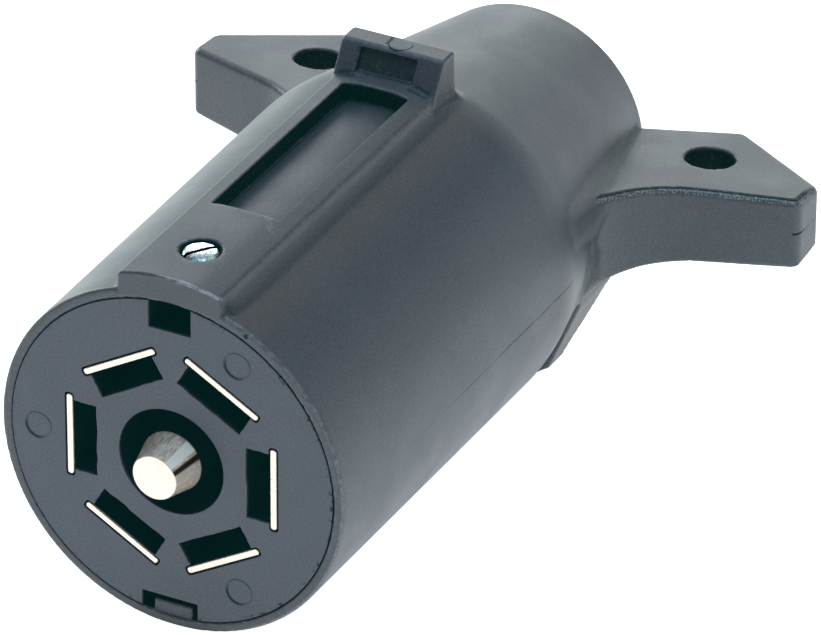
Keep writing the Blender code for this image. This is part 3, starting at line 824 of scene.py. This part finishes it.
def insert_marks_and_painted_shade(n, shade, normal, color):
    """Painted shadow along the flash on the rim, and round each ejector pin's raised rim, darkest on its lower
    left.
    """
    marks = n.all_of(n.ramp(n.radius(), INSERT_R - 0.6, INSERT_R - 0.3), n.ramp(n.noise(0.9, 5.0), 0.54, 0.60),
                     n.ramp(n.x, -22.0, 14.0, 0.25, 1.0))
    for x, z in EJECTOR_MARKS:
        gap = n.vector('SUBTRACT', n.place, (x, 0.0, z))
        arc = n.within(n.vector('LENGTH', gap), EJECTOR_R - 0.28, EJECTOR_R + 0.04, 0.12)
        # Painted shadow: darker towards the lower left of the rim
        low_left = n.vector('DOT_PRODUCT', gap, (-0.40, 0.0, -0.40))
        marks = n.math('MAXIMUM', marks, n.math('MULTIPLY', arc, n.ramp(low_left, 0.1, 0.8, 0.1, 0.9)))
    return shade, n.bump(marks, 0.5, -0.05, normal), n.math('MULTIPLY', marks, 0.75)


def nickel(name):
    """Satin nickel plating: streaks along y, a painted reflection on the nose that changes round the pin, and
    painted shade down in the insert.
    """
    n = Nodes(name, 0.22, 0.4)
    streak = n.noise(0.30, 4.0, (1.0, 0.05, 1.0))
    # Painted reflection on the nose, set by angle round the pin: light and grey streaked parts, darker sides, a
    # dark stripe and a light band
    round_pin = n.math('ARCTAN2', n.z, n.x)
    sheen = n.mix(n.ramp(streak, 0.42, 0.60), (1.0, 0.80, 0.64), (0.62, 0.48, 0.38))
    sheen = n.mix(n.ramp(round_pin, 1.1, 2.7, 0.0, 0.75), sheen, (0.22, 0.17, 0.13))
    grey = n.mix(streak, (0.40, 0.32, 0.26), (1.0, 0.85, 0.72))
    sheen = n.mix(n.within(round_pin, -0.9, 0.35, 0.25), sheen, grey)
    sheen = n.mix(n.ramp(round_pin, -1.2, 0.1, 0.8, 0.0), sheen, (0.20, 0.16, 0.12))
    sheen = n.mix(n.within(round_pin, 0.38, 0.50, 0.09), sheen, (0.035, 0.022, 0.014))
    # Painted highlight: a light band along part of the nose
    highlight_band = n.within(round_pin, 0.68, 1.00, 0.07)
    sheen = n.mix(highlight_band, sheen, (1.0, 0.90, 0.78))
    nose = n.all_of(n.ramp(n.y, 0.03 - PIN_PROUD, 0.12 - PIN_PROUD), n.ramp(n.radius(), 4.5, 5.0, 1.0, 0.0))
    shade = n.mix(nose, (0.87, 0.71, 0.60), sheen)
    # Painted shade where the pin is closed in
    shade = n.mix(n.ramp(n.openness(0.5), 0.30, 0.60, 0.6, 0.0), shade, (0.06, 0.035, 0.02))
    # Painted shade in dark teal, with its faint painted glow, down in the insert
    sunk = n.all_of(n.ramp(n.y, 0.05, 0.35), n.ramp(n.y, POCKET_DEPTH, POCKET_DEPTH + 1.0, 1.0, 0.0))
    n.set("Base Color", n.mix(sunk, shade, RECESS_SHADE))
    n.set("Emission Color", n.mix(sunk, (0.0, 0.0, 0.0), RECESS_SHADE))
    n.shader.inputs["Emission Strength"].default_value = RECESS_SHADE_GLOW
    dull = n.math('MULTIPLY', nose, n.ramp(highlight_band, 0.0, 1.0, 0.6, 1.0))
    n.set("Metallic", n.ramp(n.math('MAXIMUM', sunk, dull), 0.0, 1.0, 0.6, 0.0, smooth=False))
    n.set("Specular IOR Level", n.ramp(sunk, 0.0, 1.0, 0.5, 0.03))
    n.set("Roughness", n.ramp(n.noise(1.6, 3.0), 0.3, 0.7, 0.16, 0.30))
    n.set("Normal", n.bump(n.math('MULTIPLY', streak, nose), 0.3, 0.02))
    return n.material


def zinc(name):
    """Blue-white zinc plating with fine scratches, and painted shade in dark teal in the slot and wherever the
    screw is closed in.
    """
    n = Nodes(name, 0.28, 1.0)
    scratch = n.noise(0.25, 5.0, (1.0, 0.4, 1.0))
    shade = n.mix(n.ramp(scratch, 0.42, 0.62), (0.88, 0.96, 0.99), (0.30, 0.42, 0.46))
    # Painted shade where the screw is closed in
    shade = n.mix(n.ramp(n.openness(0.9), 0.40, 0.80, 1.0, 0.0), shade, (0.01, 0.03, 0.034))
    n.set("Base Color", shade)
    n.set("Roughness", n.ramp(scratch, 0.3, 0.7, 0.16, 0.36))
    n.set("Normal", n.bump(scratch, 0.5, 0.04))
    return n.material


CHARCOAL = (0.040, 0.046, 0.053)
HOUSING = plastic("housing_plastic", CHARCOAL, housing_marks_and_painted_light, housing_recess_shade, 0.35)
INSERT = plastic("insert_plastic", (0.040, 0.048, 0.060), insert_marks_and_painted_shade, insert_recess_shade)
CLAMP = plastic("clamp_plastic", CHARCOAL)
NICKEL = nickel("nickel_contact")
ZINC = zinc("zinc_screw")


def dress(obj, material, body, node):
    """Give a piece its material and its body, and hide the CAD node that it stands for."""
    obj.data.materials.clear()
    obj.data.materials.append(material)
    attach(obj, body)
    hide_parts(node)


# Insert, contacts, screws and clamp ------------------------------------------------------------

def turned_out(radial, across, angle):
    """A point (radial, across) of the contact at an angle, as (x, z)."""
    a = math.radians(angle)
    return (radial * math.cos(a) - across * math.sin(a), radial * math.sin(a) + across * math.cos(a))


def ragged(start, end, rng, amount):
    """Points from start to end with the small unevenness of a moulded flash edge."""
    count = 9
    points = []
    for k in range(1, count):
        t = k / count + rng.uniform(-0.03, 0.03)
        push = rng.uniform(-amount, amount)
        dx, dy = end[0] - start[0], end[1] - start[1]
        length = math.hypot(dx, dy)
        points.append((start[0] + dx * t - dy / length * push, start[1] + dy * t + dx / length * push))
    return [start] + points


def rim_outline(radius, pockets):
    """The insert's rim with its keyway and top notch, and with its terminal pockets if asked."""
    cuts = [
        (90.0, [(TOP_NOTCH_HALF, None), (TOP_NOTCH_HALF, TOP_NOTCH_Z), (-TOP_NOTCH_HALF, TOP_NOTCH_Z),
                (-TOP_NOTCH_HALF, None)]),
        (270.0, [(KEYWAY_X[0], None), (KEYWAY_X[0], KEYWAY_Z), (KEYWAY_X[1], KEYWAY_Z), (KEYWAY_X[1], None)]),
    ]
    pieces = []
    for middle, corners in cuts:
        points = []
        for x, z in corners:
            if z is None:
                z = math.copysign(math.sqrt(radius * radius - x * x), math.sin(math.radians(middle)))
            points.append((x, z))
        pieces.append(points)
    if pockets:
        inner, wide, outer = TERMINAL_HALF + 0.35, BLADE_HALF + 0.35, 3.4
        low, blade_in, blade_out = TERMINAL_RADIAL[0] - GAP, BLADE_APOTHEM - 0.9, BLADE_APOTHEM + 1.1
        rim = math.sqrt(radius * radius - outer * outer)
        half = [(rim, outer), (blade_out, outer), (blade_out, wide), (blade_in, wide), (blade_in, inner),
                (low, inner)]
        for angle in BLADES.values():
            below = [turned_out(u, -v, angle) for u, v in half]
            above = [turned_out(u, v, angle) for u, v in reversed(half)]
            pieces.append(below + above)

    def bearing(point):
        return math.atan2(point[1], point[0]) % (2 * math.pi)

    pieces.sort(key=lambda points: bearing(points[0]) if bearing(points[0]) < 6.0 else bearing(points[0]) - 7.0)
    outline = []
    for k, points in enumerate(pieces):
        outline += points
        start = bearing(points[-1])
        end = bearing(pieces[(k + 1) % len(pieces)][0])
        sweep = (end - start) % (2 * math.pi)
        steps = max(2, int(sweep / 0.05))
        for i in range(1, steps):
            angle = start + sweep * i / steps
            reach = radius - 0.05 * (1 + math.cos(angle - 0.4)) / 2
            outline.append((reach * math.cos(angle), reach * math.sin(angle)))
    return outline


def make_insert():
    """The insert: slotted front, a plate that closes the slots, and the rear with its terminal pockets."""
    rng = np.random.default_rng(7)
    inner, outer = BLADE_APOTHEM - BLADE_THICK / 2 - 0.18, BLADE_APOTHEM + BLADE_THICK / 2 + 0.22
    wide = BLADE_HALF + 0.22
    ends = ((inner, -wide), (outer, -wide), (outer, wide), (inner, wide))
    groove = [(u, v, GROOVE_CORNER_R) for u, v in ends]
    slots = []
    grooves = []
    for angle in BLADES.values():
        lower = [(SLOT_RADIAL[0], -SLOT_HALF), (inner, -SLOT_HALF)]
        upper = [(inner, SLOT_HALF), (SLOT_RADIAL[0], SLOT_HALF)]
        start = ragged(lower[0], lower[1], rng, 0.05) + [lower[1]]
        end = ragged(upper[0], upper[1], rng, 0.05) + ragged(upper[1], lower[0], rng, 0.09)
        hat = [(u, v, 0) for u, v in start] + groove + [(u, v, 0) for u, v in end]
        slots.append([turned_out(u, v, angle) for u, v in rounded(hat)])
        grooves.append([turned_out(u, v, angle) for u, v in rounded(groove)])
    front = extruded([rim_outline(INSERT_R, False), circle(WELL_R)] + slots, 0.0, WELL_DEPTH + 0.3, 0.12)
    bore = circle(PIN_R + 0.1, 48)
    middle = extruded([rim_outline(INSERT_R, False), bore] + grooves, WELL_DEPTH, POCKET_DEPTH, 0.0)
    rear = extruded([rim_outline(INSERT_R, True), bore], POCKET_DEPTH, INSERT_LENGTH, 0.0)
    insert = joined([front, middle, rear])
    rings = joined([lathe_ring(x, z) for x, z in EJECTOR_MARKS])
    return smooth_object("contact_insert_detail", joined([insert, rings]), 25)


def lathe_ring(x, z):
    """The faint raised rim that an ejector pin leaves, on the face at (x, z)."""
    mesh = lathe([(EJECTOR_R - 0.2, -0.1), (EJECTOR_R - 0.12, 0.07), (EJECTOR_R, 0.07), (EJECTOR_R + 0.1, -0.1),
                  (EJECTOR_R - 0.2, -0.1)], 40)
    mesh.transform(Matrix.Translation((x, 0.0, z)) @ Matrix.Rotation(math.pi / 2, 4, 'X'))
    return mesh


def make_blade():
    """The strip and its screw terminal, for the contact at angle zero."""
    low, high = BLADE_APOTHEM - BLADE_THICK / 2, BLADE_APOTHEM + BLADE_THICK / 2
    end = 0.34
    strip = extruded([rounded([(low, -BLADE_HALF, end), (high, -BLADE_HALF, end), (high, BLADE_HALF, end),
                               (low, BLADE_HALF, end)])], 0.0, BLADE_LENGTH, 0.09)
    near, far = TERMINAL_RADIAL
    section = rounded([(near, -TERMINAL_HALF, 0.5), (far, -TERMINAL_HALF, 0.2), (far, TERMINAL_HALF, 0.2),
                       (near, TERMINAL_HALF, 0.5)])
    body = extruded([section, circle(WIRE_HOLE_R, 32, (WIRE_HOLE_RADIAL, 0.0))], *TERMINAL_Y, 0.15)
    return joined([strip, body])


def make_screw(name, place, turn, shank, length, head, height, slot, pitch=0.6):
    """A slotted pan-head screw: its seat is at place, and turn carries +z to where its head looks.

    length runs from the seat to the shank's tip, height from the seat to the head's top.
    """
    top = lathe([(0.0, height), (head * 0.55, height), (head * 0.85, height * 0.93), (head, height * 0.72),
                 (head, 0.12), (head - 0.15, 0.0), (0.0, 0.0)], 56)
    cutter = block((-head - 1.0, head + 1.0), (-slot / 2, slot / 2), (height * 0.45, height + 1.0), 0.02)
    top = carve(top, cutter)
    mesh = joined([top, thread(shank, -length, 0.2, pitch, 0.22)])
    mesh.transform(Matrix.Translation(place) @ turn)
    return smooth_object(name, mesh, 28)


def make_pin():
    """The centre pin: its nose, and its shank down in the well."""
    nose = -PIN_PROUD
    mesh = lathe([
        (0.0, PIN_REAR_Y - 8.7), (WIRE_HOLE_R, PIN_REAR_Y - 8.7), (WIRE_HOLE_R, PIN_REAR_Y - 0.2),
        (WIRE_HOLE_R + 0.2, PIN_REAR_Y), (PIN_R - 0.25, PIN_REAR_Y), (PIN_R, PIN_REAR_Y - 0.25), (PIN_R, 0.15),
        (PIN_R - 0.06, -0.05), (PIN_TIP_R + 0.14, nose + 0.12), (PIN_TIP_R + 0.04, nose + 0.03),
        (PIN_TIP_R - 0.06, nose), (0.0, nose),
    ], 72)
    mesh.transform(Matrix.Rotation(-math.pi / 2, 4, 'X'))
    return smooth_object("centre_pin_detail", mesh, 25)


def clamp_field(x, y, z):
    """The saddle: plate, jaw with grip ridges, screw holes and head seats."""
    plate = common(span(x, -CLAMP_HALF, CLAMP_HALF), span(z, *CLAMP_PLATE_Z), 0.4)
    plate = common(plate, span(y, *CLAMP_Y), 0.4)
    jaw = common(np.abs(x) - JAW_HALF, z - JAW_TOP_Z, 0.3)
    jaw = common(np.maximum(jaw, CLAMP_PLATE_Z[1] - 1.0 - z), span(y, *CLAMP_Y), 0.3)
    body = union(plate, jaw, 0.2)
    ridges = 0.35 * np.abs(np.sin(math.pi * (y - CLAMP_Y[0]) / 2.25))
    body = without(body, np.sqrt(x * x + z * z) - JAW_R - ridges, 0.1)
    from_screw = np.hypot(np.abs(x) - CLAMP_SCREW_X, y - CLAMP_MID_Y)
    holes = np.maximum(from_screw - CLAMP_SCREW_R - GAP, z + 10.0)
    seats = np.maximum(from_screw - CLAMP_HEAD_R - GAP, z - CLAMP_PLATE_Z[0] - 1.7)
    return without(body, np.minimum(holes, seats), 0.15)


def make_details():
    """Every piece but the housing, in the place of its CAD node and riding on that node's body."""
    insert = make_insert()
    dress(insert, INSERT, "insert", "contact_insert")
    pin = make_pin()
    dress(pin, NICKEL, "insert", "reverse_light_pin")
    blade = make_blade()
    seat = BLADE_APOTHEM + BLADE_THICK / 2 + GAP
    for name, angle in BLADES.items():
        turn = Matrix.Rotation(-math.radians(angle), 4, 'Y')
        mesh = blade.copy()
        mesh.transform(turn)
        strip = smooth_object(name + "_contact", mesh)
        dress(strip, NICKEL, "insert", name + "_blade")
        screw = name + "_terminal_screw"
        place = turn @ Vector((seat, TERMINAL_SCREW_Y, 0.0))
        outward = turn @ Matrix.Rotation(math.pi / 2, 4, 'Y')
        obj = make_screw(screw + "_detail", place, outward,
                         shank=1.5, length=4.3, head=2.6, height=2.0, slot=0.8)
        dress(obj, ZINC, screw, screw)
    screw = "reverse_light_terminal_screw"
    obj = make_screw(screw + "_detail", (0.0, PIN_SCREW_Y, PIN_R + GAP), Matrix.Identity(4),
                     shank=1.5, length=3.1, head=2.6, height=2.0, slot=0.8)
    dress(obj, ZINC, screw, screw)
    turn = Matrix.Rotation(math.radians(54), 4, 'Z')
    obj = make_screw("retaining_screw_detail", (0.0, RETAINING_Y, RETAINING_SEAT_Z + GAP), turn,
                     shank=1.35, length=5.35, head=2.25, height=1.4, slot=0.62)
    dress(obj, ZINC, "retaining_screw", "retaining_screw")
    low = (-CLAMP_HALF - 1.0, CLAMP_Y[0] - 1.0, CLAMP_PLATE_Z[0] - 1.0)
    high = (CLAMP_HALF + 1.0, CLAMP_Y[1] + 1.0, JAW_TOP_Z + 1.0)
    clamp = field_object("cable_clamp_detail", clamp_field, low, high, 0.25)
    dress(clamp, CLAMP, "cable_clamp", "cable_clamp")
    down = Matrix.Rotation(math.pi, 4, 'X')
    for side, x in (("left", -CLAMP_SCREW_X), ("right", CLAMP_SCREW_X)):
        name = "cable_clamp_screw_" + side
        obj = make_screw(name + "_detail", (x, CLAMP_MID_Y, CLAMP_PLATE_Z[0] + 1.4), down,
                         shank=CLAMP_SCREW_R, length=9.0, head=CLAMP_HEAD_R, height=1.4, slot=0.8)
        dress(obj, ZINC, name, name)


housing = field_object("moulded_housing", housing_field, (-44.0, -1.0, -24.6), (44.0, 99.0, 29.2), CELL)
dress(housing, HOUSING, "housing", "housing")

make_details()


# Stage -----------------------------------------------------------------------------------------

FLOOR_GLOW = 1.0


def make_stage():
    size = 3.0
    mesh = bpy.data.meshes.new("floor")
    floor_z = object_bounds()[0][2]
    corners = [(-size, -size), (size, -size), (size, size), (-size, size)]
    mesh.from_pydata([(x, y, floor_z) for x, y in corners], [], [(0, 1, 2, 3)])
    floor = add_object("floor", mesh)
    n = Nodes("pale_floor", 0.9)
    n.shader.inputs["Base Color"].default_value = (0.8, 0.8, 0.8, 1.0)
    n.shader.inputs["Emission Color"].default_value = (1.0, 1.0, 1.0, 1.0)
    n.shader.inputs["Emission Strength"].default_value = FLOOR_GLOW
    floor.data.materials.append(n.material)


def aim(obj, place, target, roll=0.0):
    """Put a camera or a light at a place and point it at a target, both in metres."""
    turn = (Vector(target) - Vector(place)).to_track_quat('-Z', 'Y').to_matrix().to_4x4()
    obj.matrix_world = Matrix.Translation(place) @ turn @ Matrix.Rotation(roll, 4, 'Z')


def add_area(name, place, target, size, power, color=(1.0, 1.0, 1.0)):
    light = bpy.data.lights.new(name, 'AREA')
    light.shape = 'RECTANGLE'
    light.size, light.size_y = size
    light.energy = power
    light.color = color
    obj = bpy.data.objects.new(name, light)
    bpy.context.scene.collection.objects.link(obj)
    aim(obj, place, target)


def make_light():
    world = bpy.data.worlds.new("studio")
    bpy.context.scene.world = world
    world.use_nodes = True
    background = world.node_tree.nodes["Background"]
    background.inputs["Color"].default_value = (0.6, 0.8, 1.0, 1.0)
    background.inputs["Strength"].default_value = 0.15
    centre = (0.0, 0.05, 0.0)
    add_area("overhead_softbox", (0.0, 0.05, 1.0), centre, (0.7, 0.7), 8.1, (0.54, 0.78, 1.0))
    add_area("left_softbox", (-0.95, 0.5, 0.35), centre, (0.5, 0.5), 7.2, (0.87, 1.0, 0.9))
    add_area("left_rear_softbox", (-0.5, 0.95, 0.45), centre, (0.4, 0.4), 2.0)
    add_area("rear_strip", (-0.25, 1.1, 0.22), centre, (0.5, 0.2), 1.2, (0.9, 1.0, 0.92))
    add_area("low_rear_strip", (0.1, 0.8, 0.12), centre, (0.5, 0.15), 0.45)
    add_area("high_rear_fill", (0.1, 0.7, 0.8), centre, (0.4, 0.4), 0.8, (1.0, 0.6, 0.15))
    add_area("right_rear_fill", (0.5, 0.6, 0.15), centre, (0.3, 0.2), 0.25)
    add_area("front_fill", (-0.6, -0.8, 0.45), centre, (0.5, 0.5), 0.4)
    add_area("high_right_softbox", (0.6, 0.31, 0.6), (0.0, 0.0, 0.0), (0.45, 0.45), 0.5, (1.0, 0.97, 0.93))


def make_camera():
    data = bpy.data.cameras.new("camera")
    data.sensor_width = 36.0
    data.lens = 350.8
    data.clip_start = 0.05
    camera = bpy.data.objects.new("camera", data)
    bpy.context.scene.collection.objects.link(camera)
    aim(camera, (0.39425, -0.69742, 0.49536), (0.020806, 0.025288, 0.014472), math.radians(0.24))
    bpy.context.scene.camera = camera


bpy.context.scene.view_settings.view_transform = 'Standard'
make_stage()
make_light()
make_camera()
